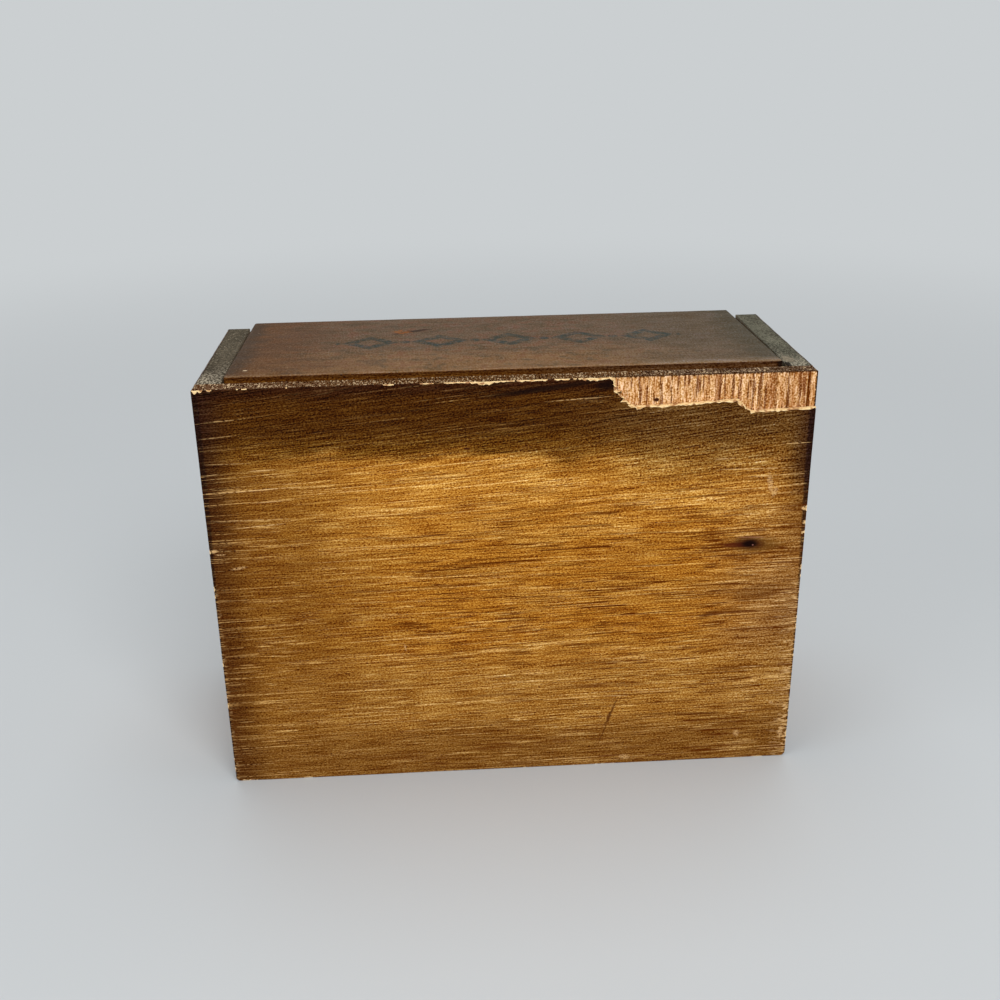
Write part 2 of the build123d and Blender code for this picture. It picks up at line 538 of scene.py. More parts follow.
def toasted_panel(name, seed, right, height, marked):
    """Honey-brown veneer, scorched dark along the top and the sides. right is -1 for the back
    and 1 for the front, and marked adds the back's own marks."""
    paint = Paint(name)
    h = paint.x * float(right)
    z = paint.z
    below = height - z
    left_edge = h + WIDTH / 2
    right_edge = WIDTH / 2 - h
    slope = 0.02 + 0.08 * z.rise(62.0, 98.0) + 0.02 * z.rise(20.0, 40.0) * z.rise(50.0, 40.0)
    across = z - h * slope
    grain = Grain(paint, h, across, seed)
    drift = paint.noise(h / 26.0, z / 12.0, seed + 11.0, detail=2.0) - 0.5
    fringe = paint.noise(h / 16.0, across / 1.1, seed + 12.0, detail=2.0) - 0.5
    high = z.rise(40.0, 90.0)

    colour = paint.mix(
        linear(176, 114, 36), linear(204, 139, 52), (z + 16.0 * drift).rise(62.0, 78.0)
    )
    amber = (drift + grain.near).rise(0.62, 0.40)
    colour = paint.mix(colour, linear(176, 108, 26), amber * 0.6)
    duller = (h + 20.0 * drift).rise(42.0, 66.0) * (1.0 - 0.75 * high)
    colour = paint.mix(colour, linear(156, 104, 46), duller)
    low = (z + 10.0 * drift).rise(42.0, 26.0)
    colour = paint.mix(colour, linear(168, 114, 44), low * 0.8)
    olive = (left_edge + 16.0 * drift + 8.0 * high).rise(58.0, 14.0)
    colour = paint.mix(colour, linear(132, 81, 22), olive * (0.95 - 0.25 * low))
    foot = (z + 10.0 * drift + 9.0 * fringe).rise(18.0, 9.0)
    colour = paint.mix(colour, linear(132, 84, 28), foot * 0.9)
    colour = paint.mix(colour, linear(86, 46, 10), (left_edge + 4.0 * drift).rise(13.0, 0.0))
    corner = (left_edge + 3.0 * fringe).rise(9.0, 0.0) * z.rise(52.0, 84.0)
    colour = paint.mix(colour, linear(54, 24, 6), corner * 0.8)
    shade = (right_edge + 3.0 * fringe).rise(10.0, 0.0) * (0.2 + 0.5 * z.rise(56.0, 80.0))
    colour = paint.mix(colour, linear(70, 32, 10), shade)

    depth = 18.4 + 4.2 * h.rise(22.0, 36.0) - 1.4 * h.rise(50.0, 58.0) + 6.0 * h.rise(65.0, 72.0)
    depth = depth + 1.8 * h.rise(2.0, 13.0) * h.rise(20.0, 14.0)
    depth = depth - 1.3 * h.rise(-54.0, -40.0) * h.rise(0.0, -12.0)
    depth = depth + 2.0 * h.rise(-58.0, -66.0)
    ragged = below - depth + 6.0 * fringe + 8.0 * drift
    sharp = ragged.rise(2.6, -2.4)
    soft = ragged.rise(10.0, -8.0)
    at_end = h.rise(-8.0, 36.0).most(left_edge.rise(26.0, 4.0))
    band = sharp + (soft - sharp) * at_end
    on_right = h.rise(5.0, 50.0)
    scorched = paint.mix(linear(106, 62, 10), linear(76, 39, 4), below.rise(17.0, 10.0))
    scorched = paint.mix(scorched, linear(103, 65, 22), on_right * below.rise(3.0, 10.0) * 0.8)
    scorched = paint.mix(scorched, linear(52, 22, 4), (below + 4.0 * fringe).rise(5.0, 0.5))
    scorched = paint.mix(scorched, linear(40, 16, 6), left_edge.rise(10.0, 1.0) * 0.85)
    scorched = paint.mix(scorched, linear(50, 22, 10), right_edge.rise(7.0, 0.5) * 0.8)
    colour = paint.mix(colour, scorched, band)
    left_rim = (left_edge - 1.0 * high + 0.3 * fringe).rise(0.7, 0.1)
    colour = paint.mix(colour, linear(30, 12, 5), left_rim * 0.85)
    right_rim = (right_edge - 1.1 * high + 0.5 * fringe).rise(0.8, 0.1)
    colour = paint.mix(colour, linear(34, 14, 8), right_rim * 0.85)

    colour = paint.stain(colour, (1.0 + grain.tone * (1.0 + 0.5 * band)).most(0.2))
    dark = (h + 20.0 * drift).rise(-55.0, -10.0) * (1.0 - 0.6 * z.rise(66.0, 76.0))
    dark = dark * (1.0 - 0.6 * z.rise(44.0, 34.0) * h.rise(34.0, 10.0))
    figured = h.rise(5.0, 20.0) * z.rise(38.0, 46.0) * z.rise(68.0, 62.0)
    dark = grain.dark * (0.35 + 0.75 * dark + 0.35 * figured)
    colour = paint.mix(colour, linear(94, 40, 0), dark * (1.0 - band))
    colour = paint.mix(colour, linear(34, 12, 2), dark * band * 0.5)
    under_band = ragged.rise(-2.0, 1.0) * ragged.rise(16.0, 5.0)
    wear = 0.75 - 0.2 * band + 0.1 * under_band - 0.2 * z.rise(18.0, 8.0)
    smooth = z.rise(55.0, 62.0) * z.rise(80.0, 72.0) * h.rise(28.0, 14.0) * h.rise(-52.0, -42.0)
    wear = wear - 0.35 * smooth
    scraped = (grain.pale * wear + grain.long * grain.broken).least(1.0)
    scraped = scraped * (1.0 - 0.7 * grain.dark)
    colour = paint.stain(colour, 1.0 + 0.8 * scraped)
    colour = paint.mix(colour, linear(242, 190, 116), scraped * (0.6 - 0.45 * band))
    ends = Grain.line(paint, h / 9.0, across / 1.2, seed + 14.0).most(grain.long)
    frayed = (right_edge + 4.0 * fringe).rise(6.0, 0.6) * z.rise(56.0, 48.0)
    frayed = frayed.most((left_edge + fringe).rise(1.4, 0.3) * z.rise(64.0, 52.0) * 0.5)
    colour = paint.mix(colour, linear(236, 190, 128), ends * grain.broken * frayed * 0.9)
    if marked:
        colour = back_marks(paint, colour, h, z, fringe, grain)
    roughness = 0.48 + 0.20 * grain.pale + 0.12 * (grain.fibre - 0.5)
    relief = grain.fibre - 0.7 * grain.dark - 0.2 * grain.pale + 0.3 * grain.speck
    return paint.finish(colour, roughness, relief, 0.04, specular=0.03)


DARK_MARKS = (
    # place (h, z), half size, slope in degrees, strength
    ((25.1, 14.6), (2.6, 0.50), 70.0, 0.85),
    ((26.2, 17.6), (3.0, 0.26), 68.0, 0.7),
    ((23.6, 9.6), (3.4, 0.24), 71.0, 0.7),
    ((43.0, 14.7), (14.0, 0.55), -2.0, 0.45),
    ((63.4, 18.8), (0.6, 0.35), 0.0, 0.6),
    ((49.5, 43.5), (3.2, 0.8), 28.0, 0.4),
    ((23.7, 71.6), (1.6, 0.22), 65.0, 0.4),
    ((62.0, 49.5), (6.0, 2.4), 8.0, 0.35),
)
PALE_MARKS = (
    ((63.3, 79.1), (0.7, 2.8), 10.0, 0.6),
    ((64.6, 76.8), (0.6, 1.5), -24.0, 0.6),
    ((-66.3, 61.7), (2.0, 0.35), 8.0, 0.6),
    ((-27.1, 37.9), (0.25, 1.2), 12.0, 0.5),
    ((29.5, 2.0), (1.5, 0.8), 0.0, 0.6),
    ((59.3, 7.8), (0.8, 1.1), 20.0, 0.5),
    ((71.2, 7.4), (0.7, 2.0), -4.0, 0.6),
    ((68.1, 16.9), (0.6, 0.4), 0.0, 0.9),
    ((72.2, 72.1), (0.6, 0.6), 0.0, 1.0),
    ((72.5, 68.4), (0.35, 0.6), 0.0, 0.8),
    ((72.4, 65.7), (0.4, 0.5), 0.0, 0.9),
    ((-71.9, 66.4), (0.9, 0.5), 10.0, 0.9),
    ((-70.6, 65.4), (1.3, 0.25), 2.0, 0.7),
)
WORN_LINES = (
    # start and end (h, z), strength
    ((8.4, 101.5), (24.4, 102.4), 0.6),
    ((-71.9, 88.8), (-61.0, 88.7), 0.5),
    ((-61.5, 86.8), (-55.2, 87.1), 0.95),
    ((-72.2, 85.9), (-68.6, 86.2), 0.6),
    ((-72.6, 81.3), (-48.0, 82.5), 0.95),
    ((-62.1, 78.6), (-52.0, 79.0), 0.6),
    ((-72.6, 74.2), (-53.0, 74.4), 0.6),
    ((-67.0, 72.1), (-54.0, 73.2), 0.9),
    ((-70.4, 99.2), (-63.5, 99.6), 0.5),
    ((-72.4, 95.0), (-63.0, 95.8), 0.45),
    ((31.0, 21.8), (42.6, 21.6), 0.7),
    ((24.2, 21.0), (30.2, 20.7), 0.8),
    ((57.5, 20.8), (71.0, 20.4), 0.8),
    ((59.0, 27.9), (64.6, 28.0), 0.8),
    ((67.6, 48.9), (72.6, 49.2), 1.0),
    ((66.0, 46.8), (70.4, 46.9), 1.0),
    ((68.4, 58.6), (72.6, 58.7), 0.9),
    ((69.0, 38.2), (72.4, 38.3), 0.9),
    ((50.5, 83.0), (69.3, 82.9), 0.8),
    ((56.9, 80.9), (73.0, 81.3), 0.8),
    ((65.5, 89.1), (72.7, 89.3), 0.8),
    ((49.3, 85.7), (54.3, 85.8), 0.8),
    ((68.2, 78.5), (72.4, 78.8), 0.8),
)


def back_marks(paint, colour, h, z, fringe, grain):
    """The knot, the scratches and the scuffs of the back's face."""
    wander = h + 1.2 * fringe, z + 0.5 * fringe
    patchy = grain.speck.rise(0.34, 0.56)
    for at, size, turn, share in DARK_MARKS:
        mark = paint.spot(*wander, at, size, turn, 0.45)
        colour = paint.mix(colour, linear(88, 44, 10), mark * share)
    for at, size, turn, share in PALE_MARKS:
        mark = paint.spot(*wander, at, size, turn, 0.45)
        colour = paint.mix(colour, linear(232, 186, 126), mark * patchy * share)
    for start, end, share in WORN_LINES:
        run = Vector(end) - Vector(start)
        middle = (Vector(start) + Vector(end)) / 2
        turn = math.degrees(math.atan2(run.y, run.x))
        line = paint.spot(h, z + 0.5 * fringe, middle, (run.length / 2, 0.12), turn, 0.4)
        colour = paint.mix(colour, linear(238, 192, 128), line * grain.broken * share)

    halo = paint.spot(*wander, (60.4, 62.9), (7.2, 2.4), turn=-1.0, edge=0.45)
    colour = paint.mix(colour, linear(104, 66, 20), halo * 0.7)
    tail = paint.spot(*wander, (56.2, 62.9), (4.2, 0.8), edge=0.45)
    colour = paint.mix(colour, linear(84, 24, 8), tail * 0.8)
    crest = paint.spot(h, z, (59.6, 64.8), (3.8, 0.2), turn=-2.0, edge=0.45)
    colour = paint.mix(colour, linear(196, 140, 104), crest * 0.5)
    rim = paint.spot(*wander, (59.3, 63.2), (4.0, 1.8), turn=-6.0, edge=0.45)
    colour = paint.mix(colour, linear(62, 20, 8), rim * 0.8)
    knot = paint.spot(*wander, (59.4, 63.1), (2.1, 1.1), edge=0.45)
    colour = paint.mix(colour, linear(22, 6, 4), knot)
    eye = paint.spot(h, z, (60.1, 62.7), (0.22, 0.2))
    colour = paint.mix(colour, linear(170, 110, 96), eye * 0.7)
    speck = paint.spot(*wander, (-10.2, 90.6), (0.8, 0.38), edge=0.4)
    colour = paint.mix(colour, linear(60, 18, 8), speck * 0.9)
    charred = paint.spot(*wander, (8.0, 104.7), (15.5, 0.7), turn=6.4, edge=0.45)
    charred = charred.most(paint.spot(*wander, (23.5, 105.2), (4.0, 1.3), turn=4.0, edge=0.45))
    return paint.mix(colour, linear(20, 7, 5), charred * 0.85)


def ply_edge(name, seed):
    """The sawn edges of the plywood: stained brown, with pale specks of open grain. Level
    edges show short specks, and upright edges the core's long grain."""
    paint = Paint(name)
    x, y, z = paint.x, paint.y, paint.z
    upright = (WIDTH / 2 - abs(x)).rise(0.4, 0.15)
    level = paint.noise(x / 0.31, y / 1.0, seed)
    long = paint.noise(y / 0.34, z / 2.4, seed + 1.0, detail=2.0)
    fine = level + (0.5 + 0.6 * (long - 0.5) - level) * upright
    fleck = paint.noise(x / 0.34, y / 1.1, z / 0.42 + seed + 5.0) - 0.06 * upright
    blotch = paint.noise(x / 6.0, y / 2.4, z / 7.0 + seed, detail=2.0)
    reddish = (x + 40.0 * (blotch - 0.5)).rise(30.0, 64.0)
    greener = (x + 60.0 * (blotch - 0.5)).rise(-25.0, -45.0)
    colour = paint.mix(linear(88, 54, 22), linear(92, 60, 32), reddish)
    colour = paint.mix(colour, linear(92, 66, 40), greener)
    tone = 1.0 + 9.0 * (fine - 0.5) + 2.0 * (blotch - 0.5)
    colour = paint.stain(colour, tone.most(0.12).least(1.6))
    pale = fleck.rise(0.54, 0.64) * blotch.rise(0.34, 0.56)
    colour = paint.mix(colour, linear(206, 178, 140), pale * 0.85)
    return paint.finish(colour, 1.0, fine - 0.5 * pale, 0.10, specular=0.01)


def end_grain(name, seed):
    """The sawn edges of the side boards: stained grey-brown end grain, rubbed paler towards
    the back, with pale specks, and painted shade along the top's inner edge at the back."""
    paint = Paint(name)
    x, y, z = paint.x, paint.y, paint.z
    fine = paint.noise(x / 0.42, y / 0.55, z / 0.42 + seed, detail=3.0, roughness=0.65)
    fleck = paint.noise(x / 0.42, y / 0.5, z / 0.42 + seed + 5.0)
    blotch = paint.noise(x / 6.0, y / 9.0, z / 6.0 + seed, detail=2.0)
    greener = x.rise(30.0, -30.0)
    colour = paint.mix(linear(98, 88, 72), linear(112, 110, 94), greener)
    pits = paint.mix(linear(70, 64, 52), linear(34, 27, 18), y.rise(-6.0, 20.0))
    colour = paint.mix(pits, colour, fine.rise(0.36, 0.60))
    colour = paint.shade(colour, 0.4 + 1.0 * blotch)
    rubbed = (y + 22.0 * (blotch - 0.5)).rise(8.0, 27.0)
    pale = (fleck.rise(0.62, 0.72) * 0.5).most(rubbed * fleck.rise(0.44, 0.62))
    colour = paint.mix(colour, linear(206, 192, 168), pale * (0.5 + 0.25 * x.rise(-30.0, 30.0)))
    worn_corner = paint.spot(x, y + 6.0 * (blotch - 0.5), (-68.6, 21.0), (1.5, 3.0))
    colour = paint.mix(colour, linear(138, 124, 104), worn_corner * 0.6)
    # Painted shade: near black along the inner edge of the wall top at the back, next to the gap
    # behind the lid.
    gap_shade = (x + 68.2).rise(0.0, 0.4) * x.rise(0.0, -60.0) * y.rise(22.8, 23.6)
    colour = paint.mix(colour, linear(22, 14, 10), gap_shade * 0.9)
    outer = (WIDTH / 2 - abs(x)).rise(0.9, 0.2) * z.rise(80.0, 100.0)
    colour = paint.mix(colour, linear(36, 34, 28), outer * 0.7)
    fibre = paint.noise(x / 0.34, y / 0.6, z / 6.0 + seed, detail=2.0)
    upright = paint.mix(linear(58, 32, 12), linear(118, 80, 44), fibre.rise(0.30, 0.70))
    colour = paint.mix(colour, upright, (HEIGHT - z).rise(0.4, 1.4))
    return paint.finish(colour, 0.85, fine - 0.5 * pale, 0.10, specular=0.04)


CORE_STREAKS = (
    # h, half width, strength
    (35.6, 0.30, 0.7),
    (38.1, 0.22, 0.8),
    (43.0, 0.25, 0.6),
    (44.1, 0.25, 0.6),
    (49.7, 0.45, 0.8),
    (52.8, 0.40, 0.8),
    (59.7, 0.28, 0.6),
    (63.3, 0.35, 0.6),
    (66.0, 0.55, 0.95),
    (68.9, 0.35, 0.6),
    (70.9, 0.60, 1.0),
)


def core_wood(name, seed):
    """Bare core veneer with upright grain: light tan with brown streaks."""
    paint = Paint(name)
    u = paint.x + 0.8 * paint.noise(paint.x / 4.0, paint.z / 12.0, seed)
    v = paint.z
    streak = paint.noise(u / 0.9, v / 12.0, seed + 1.0, detail=3.0, roughness=0.7)
    broad = paint.noise(u / 2.2, v / 30.0, seed + 2.0)
    fibre = paint.noise(u / 0.34, v / 2.4, seed + 3.0, detail=2.0)
    speck = paint.noise(u / 0.40, v / 0.46, seed + 4.0)
    pore = paint.noise(u / 0.8, v / 9.0, seed + 5.0)
    colour = paint.mix(linear(246, 194, 136), linear(200, 138, 78), streak.rise(0.38, 0.62))
    reddish = paint.x.rise(-63.5, -65.5) * paint.x.rise(-72.0, -70.5) * 0.4
    reddish = broad.rise(0.56, 0.66).most(reddish)
    colour = paint.mix(colour, linear(162, 98, 50), reddish * 0.75)
    colour = paint.mix(colour, linear(112, 50, 6), pore.rise(0.57, 0.64) * 0.8)
    bend = -1.0 * paint.x + 2.4 * (streak - 0.5) + 1.2 * (fibre - 0.5)
    plain = 1.0
    for h, half_width, share in CORE_STREAKS:
        dark = abs(bend - h).rise(half_width, 0.4 * half_width) * share
        dark = dark * broad.rise(0.28, 0.42)
        colour = paint.mix(colour, linear(104, 48, 6), dark)
        plain = (1.0 - dark) * plain
    tone = 1.0 + 2.4 * (fibre - 0.5) + 2.2 * (speck - 0.5)
    colour = paint.stain(colour, tone.most(0.3).least(1.35))
    colour = paint.mix(colour, linear(255, 212, 150), speck.rise(0.56, 0.72) * plain * 0.5)
    spot = paint.spot(-1.0 * paint.x, v, (34.8, 100.9), (0.7, 0.5))
    colour = paint.mix(colour, linear(66, 30, 14), spot)
    # Darker along the top and the sides: along the top a painted shadow line where the sawn top
    # edge meets the bare core, along the sides edge stain.
    rim = (HEIGHT - v).least((WIDTH / 2 - abs(paint.x)) * 1.2)
    colour = paint.mix(colour, linear(66, 38, 20), (rim + 0.8 * (speck - 0.5)).rise(0.65, 0.2))
    relief = streak + 0.5 * fibre - 0.5 * pore.rise(0.58, 0.66)
    return paint.finish(colour, 1.0, relief, 0.08, specular=0.02)


def torn_wood(name):
    """The broken edge of the veneer: pale fibres."""
    paint = Paint(name)
    fibre = paint.noise(paint.x / 1.2, paint.y / 0.25, paint.z / 0.25, detail=2.0)
    patch = paint.noise(paint.x / 1.4, paint.y / 2.0, paint.z / 0.8)
    colour = paint.mix(linear(208, 154, 96), linear(255, 222, 164), fibre.rise(0.30, 0.56))
    colour = paint.mix(colour, linear(158, 100, 60), patch.rise(0.54, 0.66) * 0.8)
    return paint.finish(colour, 0.9, fibre, 0.08, specular=0.05)


def inner_wood(name, seed, grain_axis, across_axis):
    """Bare wood inside the box, a little darkened by age, and stained along the rim, with
    painted shade along the rim towards the back.
    """
    paint = Paint(name)
    grain = Grain(paint, getattr(paint, grain_axis), getattr(paint, across_axis), seed)
    colour = paint.mix(linear(176, 134, 88), linear(150, 106, 64), grain.near.rise(0.35, 0.65))
    below = HEIGHT - paint.z
    stain = (below + 6.0 * (grain.near - 0.5) + 3.0 * (grain.fibre - 0.5)).rise(5.0, 1.5)
    colour = paint.mix(colour, linear(96, 84, 64), stain)
    colour = paint.stain(colour, (1.0 + 0.6 * grain.tone).most(0.2))
    colour = paint.mix(colour, linear(96, 62, 34), grain.dark * 0.5)
    colour = paint.mix(colour, linear(212, 174, 128), grain.pale * 0.4)
    # Painted shade: darker along the rim towards the back, where the gap behind the lid lies.
    colour = paint.mix(colour, linear(34, 24, 16), stain * paint.y.rise(24.0, 26.0) * 0.8)
    worn_rim = (below + 1.2 * (grain.near - 0.5)).rise(0.7, 0.1) * grain.broken
    colour = paint.mix(colour, linear(178, 160, 130), worn_rim * 0.6)
    relief = grain.fibre - grain.dark + 0.4 * grain.speck
    return paint.finish(colour, 0.75, relief, 0.05, specular=0.25)


def side_wood(name, seed):
    """The outer face of a side board: upright grain, toasted dark towards its edges."""
    paint = Paint(name)
    y, z = paint.y, paint.z
    grain = Grain(paint, z, y, seed)
    drift = paint.noise(y / 9.0, z / 26.0, seed + 11.0, detail=2.0) - 0.5
    fringe = paint.noise(y / 1.1, z / 16.0, seed + 12.0, detail=2.0) - 0.5
    below = HEIGHT - z
    rim = (y - SIDE_LOW.y).least(SIDE_HIGH.y - y)
    colour = paint.mix(linear(182, 118, 42), linear(160, 98, 28), grain.near.rise(0.35, 0.65))
    colour = paint.mix(colour, linear(108, 64, 22), (rim + 12.0 * drift).rise(13.0, 1.0))
    colour = paint.mix(colour, linear(60, 30, 12), (rim + 4.0 * fringe).rise(3.4, 0.0) * 0.8)
    scorch = (below + 12.0 * drift + 8.0 * fringe).rise(20.0, 12.0)
    colour = paint.mix(colour, linear(84, 46, 14), scorch * 0.9)
    colour = paint.mix(colour, linear(50, 24, 10), (below + 3.0 * fringe).rise(4.0, 0.5) * 0.8)
    colour = paint.mix(colour, linear(98, 58, 20), (z + 8.0 * drift).rise(9.0, 0.0) * 0.8)
    colour = paint.stain(colour, (1.0 + grain.tone).most(0.2))
    colour = paint.mix(colour, linear(84, 42, 8), grain.dark * 0.7)
    colour = paint.mix(colour, linear(228, 178, 112), grain.pale * 0.5)
    colour = paint.mix(colour, linear(204, 152, 88), grain.long * grain.broken * 0.5)
    relief = grain.fibre - grain.dark + 0.4 * grain.speck
    return paint.finish(colour, 0.46 + 0.15 * grain.pale, relief, 0.05, specular=0.15)


def lid_wood(name, seed):
    """The lid's top: brown stain, mottled grey and greyer to the right with a painted sheen,
    darker at both ends, with a faded stencilled row of lozenges and dots."""
    paint = Paint(name)
    h, y = paint.x * -1.0, paint.y
    grain = Grain(paint, h, y, seed)
    drift = paint.noise(h / 24.0, y / 10.0, seed + 11.0, detail=2.0) - 0.5
    cloud = paint.noise(h / 7.0, y / 4.0, seed + 12.0, detail=3.0) - 0.5
    left_edge = h + LID_HIGH.x
    right_edge = -LID_LOW.x - h
    mottle = paint.noise(h / 2.2, y / 3.6, seed + 15.0, detail=2.0) - 0.5
    grit = paint.noise(h / 0.42, y / 1.5, seed + 16.0) - 0.5
    rear = (y + 30.0 * cloud).rise(-4.0, 20.0)
    colour = paint.mix(linear(99, 77, 56), linear(125, 92, 58), rear)
    colour = paint.mix(colour, linear(104, 64, 40), (mottle + cloud).rise(0.0, 0.24) * 0.5)
    colour = paint.mix(colour, linear(82, 70, 50), (mottle + cloud).rise(0.0, -0.24) * 0.55)
    colour = paint.mix(colour, linear(90, 57, 28), (h + 40.0 * drift).rise(-30.0, -62.0) * 0.8)
    # Painted sheen: greyer towards the right.
    colour = paint.mix(colour, linear(90, 76, 58), (h + 40.0 * drift).rise(16.0, 52.0) * 0.8)
    left_end = (left_edge + 8.0 * cloud + 6.0 * drift).rise(7.0, 1.5)
    colour = paint.mix(colour, linear(58, 48, 36), left_end * 0.6)
    right_end = (right_edge + 10.0 * cloud).rise(12.0, 2.0)
    colour = paint.mix(colour, linear(70, 64, 48), right_end * 0.7)
    rubbed = (y - LID_HIGH.y + 4.0 + 3.0 * cloud).rise(-1.0, 2.5) * h.rise(20.0, 45.0)
    colour = paint.mix(colour, linear(140, 118, 94), rubbed * 0.5)
    border = (y - LID_HIGH.y + 1.2 * cloud).rise(-1.9, -0.7)
    colour = paint.mix(colour, linear(142, 110, 76), border * 0.45)
    colour = paint.mix(colour, linear(34, 52, 48), stencil_ink(paint, h, y))
    tone = 1.0 + 0.4 * grain.tone + 0.7 * cloud + 0.9 * grit
    colour = paint.stain(colour, tone.most(0.2))
    colour = paint.mix(colour, linear(50, 34, 20), grain.dark * 0.25)
    flecks = paint.noise(h / 0.8, y / 0.5, seed + 14.0).rise(0.66, 0.76)
    colour = paint.mix(colour, linear(180, 150, 116), flecks * 0.4)
    white_speck = paint.spot(h, y, (-62.2, 19.0), (0.55, 0.35))
    colour = paint.mix(colour, linear(222, 196, 160), white_speck)
    scratch = paint.spot(h, y + 3.0 * cloud, GOUGE_SCRATCH, (6.2, 0.9), turn=-27.0)
    colour = paint.mix(colour, linear(46, 26, 14), scratch * 0.85)
    gouge = paint.spot(h + 7.0 * mottle, y + 9.0 * mottle, GOUGE, (2.1, 1.7))
    colour = paint.mix(colour, linear(140, 82, 32), gouge * 0.75)
    roughness = 0.50 + 0.25 * (drift + cloud)
    relief = grain.fibre - 0.5 * grain.dark + 0.3 * grain.speck
    return paint.finish(colour, roughness, relief, 0.03, specular=0.03)


GOUGE = (-25.2, -15.3)
GOUGE_SCRATCH = (-22.8, -15.6)
STENCIL_PITCH = 18.0
STENCIL_MIDDLE = (2.5, -4.6)
LOZENGE = (7.4, 6.6)
LOZENGE_HOLE = (3.6, 3.2)
LOZENGE_COUNT = 5
DOT_RADIUS = 1.3


def stencil_ink(paint, h, y):
    """How much ink is left of a stencilled row of lozenges with a dot between each two."""
    place = (h - STENCIL_MIDDLE[0]) / STENCIL_PITCH
    beside = abs((place + LOZENGE_COUNT / 2).fraction() - 0.5) * STENCIL_PITCH
    up = abs(y - STENCIL_MIDDLE[1])
    lozenge = (beside / LOZENGE[0] + up / LOZENGE[1]).rise(1.04, 0.96)
    hole = (beside / LOZENGE_HOLE[0] + up / LOZENGE_HOLE[1]).rise(0.92, 1.08)
    gap = STENCIL_PITCH / 2 - beside
    dot = ((gap * gap + up * up) / DOT_RADIUS ** 2).rise(1.2, 0.8)
    within = abs(place).rise(LOZENGE_COUNT / 2 - 0.01, LOZENGE_COUNT / 2 - 0.03)
    left = paint.noise(h / 2.2, y / 2.4, 91.0, detail=3.0, roughness=0.7).rise(0.36, 0.58)
    return (lozenge * hole + dot).least(1.0) * within * (0.15 + 0.65 * left)


def lid_edge_wood(name, seed):
    """The lid's sawn edges: orange-brown at one end, dark red-brown at the other, with painted
    shade under the top edge at the back, and a painted shadow at the back of the red-brown end.
    """
    paint = Paint(name)
    grain = Grain(paint, paint.x, paint.z, seed)
    grit = paint.noise(paint.x / 0.6, paint.y / 0.42, paint.z / 0.3 + seed) - 0.5
    shift = paint.noise(paint.x / 18.0, paint.z / 8.0, seed + 11.0) - 0.5
    redder = (paint.x + 60.0 * shift).rise(20.0, -30.0)
    colour = paint.mix(linear(104, 58, 10), linear(98, 60, 26), redder)
    # Painted shadow: darker just under the top edge, along the back.
    shadow_under_rim = (paint.z - LID_HIGH.z).rise(-1.3, -0.4) * paint.y.rise(10.0, 20.0)
    colour = paint.mix(colour, linear(56, 28, 8), shadow_under_rim * 0.6)
    # Painted shadow: near black at the back of the end at low x, by the gap between the lid and
    # the wall.
    end = (paint.x - LID_LOW.x).rise(1.8, 0.8) * paint.y.rise(10.0, 20.0)
    colour = paint.mix(colour, linear(22, 10, 6), end * 0.9)
    colour = paint.stain(colour, (1.0 + 0.8 * grain.tone + 2.2 * grit).most(0.2))
    return paint.finish(colour, 0.7, grain.fibre + grit, 0.05, specular=0.05)


def nail_steel(name):
    """Dulled wire, with a little rust."""
    paint = Paint(name)
    blotch = paint.noise(paint.x / 0.8, paint.y / 0.8, paint.z / 0.8, detail=3.0)
    scratch = paint.noise(paint.x / 0.1, paint.y / 1.2, paint.z / 0.1)
    rust = blotch.rise(0.50, 0.64)
    colour = paint.mix(linear(150, 146, 138), linear(104, 98, 90), scratch)
    colour = paint.mix(colour, linear(92, 54, 30), rust)
    relief = blotch + 0.3 * scratch
    return paint.finish(colour, 0.38 + 0.4 * rust, relief, 0.05, metallic=0.85)


BACK_TOAST = toasted_panel("back_toast", 3.0, -1, HEIGHT, True)
FRONT_TOAST = toasted_panel("front_toast", 43.0, 1, FRONT_HEIGHT, False)
PLY_EDGE = ply_edge("ply_edge", 5.0)
END_GRAIN = end_grain("end_grain", 15.0)
CORE_WOOD = core_wood("core_wood", 8.0)
TORN_WOOD = torn_wood("torn_wood")
INNER_WOOD = inner_wood("inner_wood", 21.0, "x", "z")
INNER_UPRIGHT = inner_wood("inner_upright_wood", 27.0, "z", "y")
INNER_FLOOR = inner_wood("inner_floor_wood", 33.0, "x", "y")
SIDE_WOOD = side_wood("side_wood", 51.0)
LID_TOP = lid_wood("lid_top_wood", 61.0)
LID_EDGE = lid_edge_wood("lid_edge_wood", 65.0)
NAIL_STEEL = nail_steel("nail_steel")


# ---------------------------------------------------------------- plywood panels
FINE_STEP = 0.4
PANEL_RADII = (1.3, 0.5, 0.4, 1.2)

BACK_TEARS = [
    ("top", -72.9, -70.4, 1.0),
    ("top", -69.2, -68.2, 0.3),
    ("top", -63.5, -60.0, 0.14),
    ("top", -52.0, -50.0, 0.16),
    ("top", -43.0, -36.0, 0.14),
    ("top", -30.0, -26.0, 0.14),
    ("top", -22.0, -10.0, 0.20),
    ("top", -11.5, 0.5, 0.75),
    ("top", 0.0, 12.0, 0.40),
    ("top", 9.0, 17.0, 0.40),
    ("top", 15.0, 25.0, 0.65),
    ("bottom", -72.2, -70.0, 0.6),
    ("bottom", -69.8, -66.0, 0.4),
    ("right", 3.5, 9.0, 0.4),
    ("right", 71.6, 72.7, 0.5),
    ("right", 67.9, 68.8, 0.3),
    ("right", 65.3, 66.1, 0.4),
    ("left", 65.8, 67.0, 0.35),
]
BACK_TEARS += scattered(2, "left", 2.0, 56.0, 9, (0.5, 1.0), (0.12, 0.28))
BACK_TEARS += scattered(4, "right", 4.0, 60.0, 11, (0.5, 1.1), (0.12, 0.28))
BACK_TEARS += scattered(5, "bottom", -60.0, 70.0, 6, (2.0, 6.0), (0.10, 0.2))
